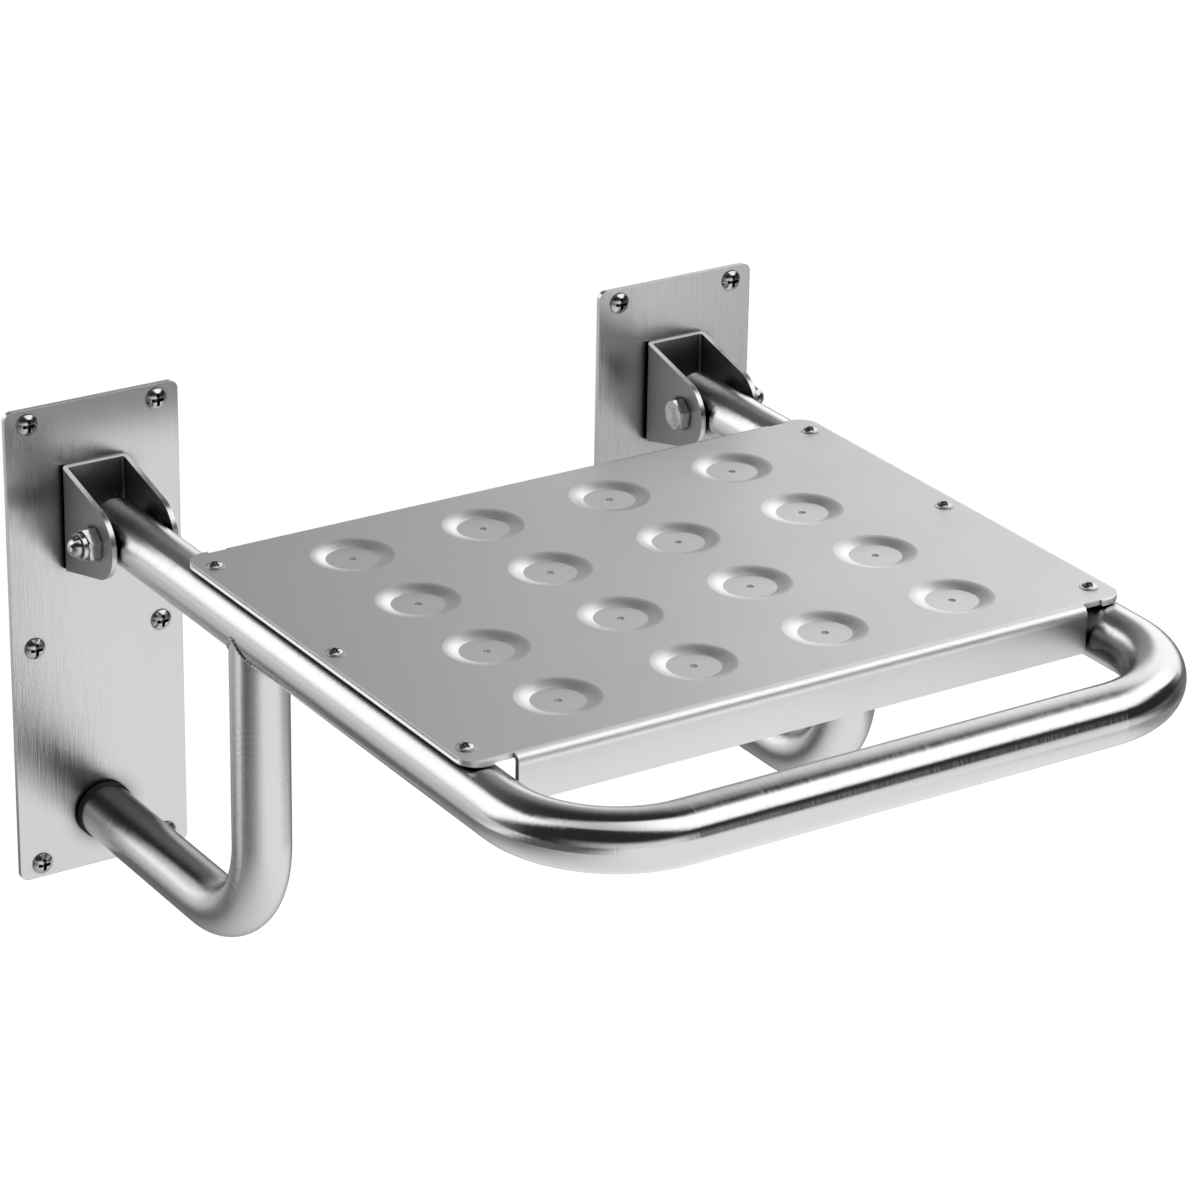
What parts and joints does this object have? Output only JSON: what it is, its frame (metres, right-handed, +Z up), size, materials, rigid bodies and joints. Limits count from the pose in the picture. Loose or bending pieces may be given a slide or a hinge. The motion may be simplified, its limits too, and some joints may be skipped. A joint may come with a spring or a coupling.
{
  "type": "fold down wall seat",
  "caption": "Wall mounted folding seat: dished sheet seat on a bent tube frame that swings up about two clevis hinges and rests on bent legs.",
  "frame": {"origin": "midway between the two wall plates, on the wall plane and on the middle screw row", "axes": "+X along the wall to the right of someone facing it, +Y into the wall, +Z up"},
  "size_m": [0.485, 0.523, 0.282],
  "materials": {
    "plate_steel": "fine upright brushing",
    "bracket_steel": "satin",
    "tube_steel": "satin, brushed round the tube",
    "leg_steel": "satin, brushed round the tube",
    "seat_steel": "satin",
    "weld_metal": "bright weld bead",
    "fastener_steel": "polished",
    "washer_nylon": "black nylon",
    "foot_rubber": "matt black"
  },
  "bodies": {
    "wall_mounting": {"left_wall_plate": "plate_steel", "right_wall_plate": "plate_steel", "left_hinge_bracket": "bracket_steel", "right_hinge_bracket": "bracket_steel", "left_bracket_plug_welds": "weld_metal", "right_bracket_plug_welds": "weld_metal", "left_hinge_bolt": "fastener_steel", "right_hinge_bolt": "fastener_steel", "left_domed_lock_nut": "fastener_steel", "right_domed_lock_nut": "fastener_steel", "left_hinge_washers": "washer_nylon", "right_hinge_washers": "washer_nylon", "left_wall_screws": "fastener_steel", "right_wall_screws": "fastener_steel"},
    "folding_seat": {"seat_frame_tube": "tube_steel", "left_pivot_sleeve": "tube_steel", "right_pivot_sleeve": "tube_steel", "frame_end_discs": "tube_steel", "left_leg": "leg_steel", "right_leg": "leg_steel", "left_leg_weld": "weld_metal", "right_leg_weld": "weld_metal", "left_rubber_foot": "foot_rubber", "right_rubber_foot": "foot_rubber", "seat_panel": "seat_steel", "left_rivet_nuts": "fastener_steel", "right_rivet_nuts": "fastener_steel", "left_seat_screws": "fastener_steel", "right_seat_screws": "fastener_steel"}
  },
  "joints": [
    {"name": "seat_fold", "type": "hinge", "parent": "wall_mounting", "child": "folding_seat", "pos_m": [0, -0.043, 0.074], "axis": [-1, 0, 0], "range_deg": [0, 93]}
  ]
}
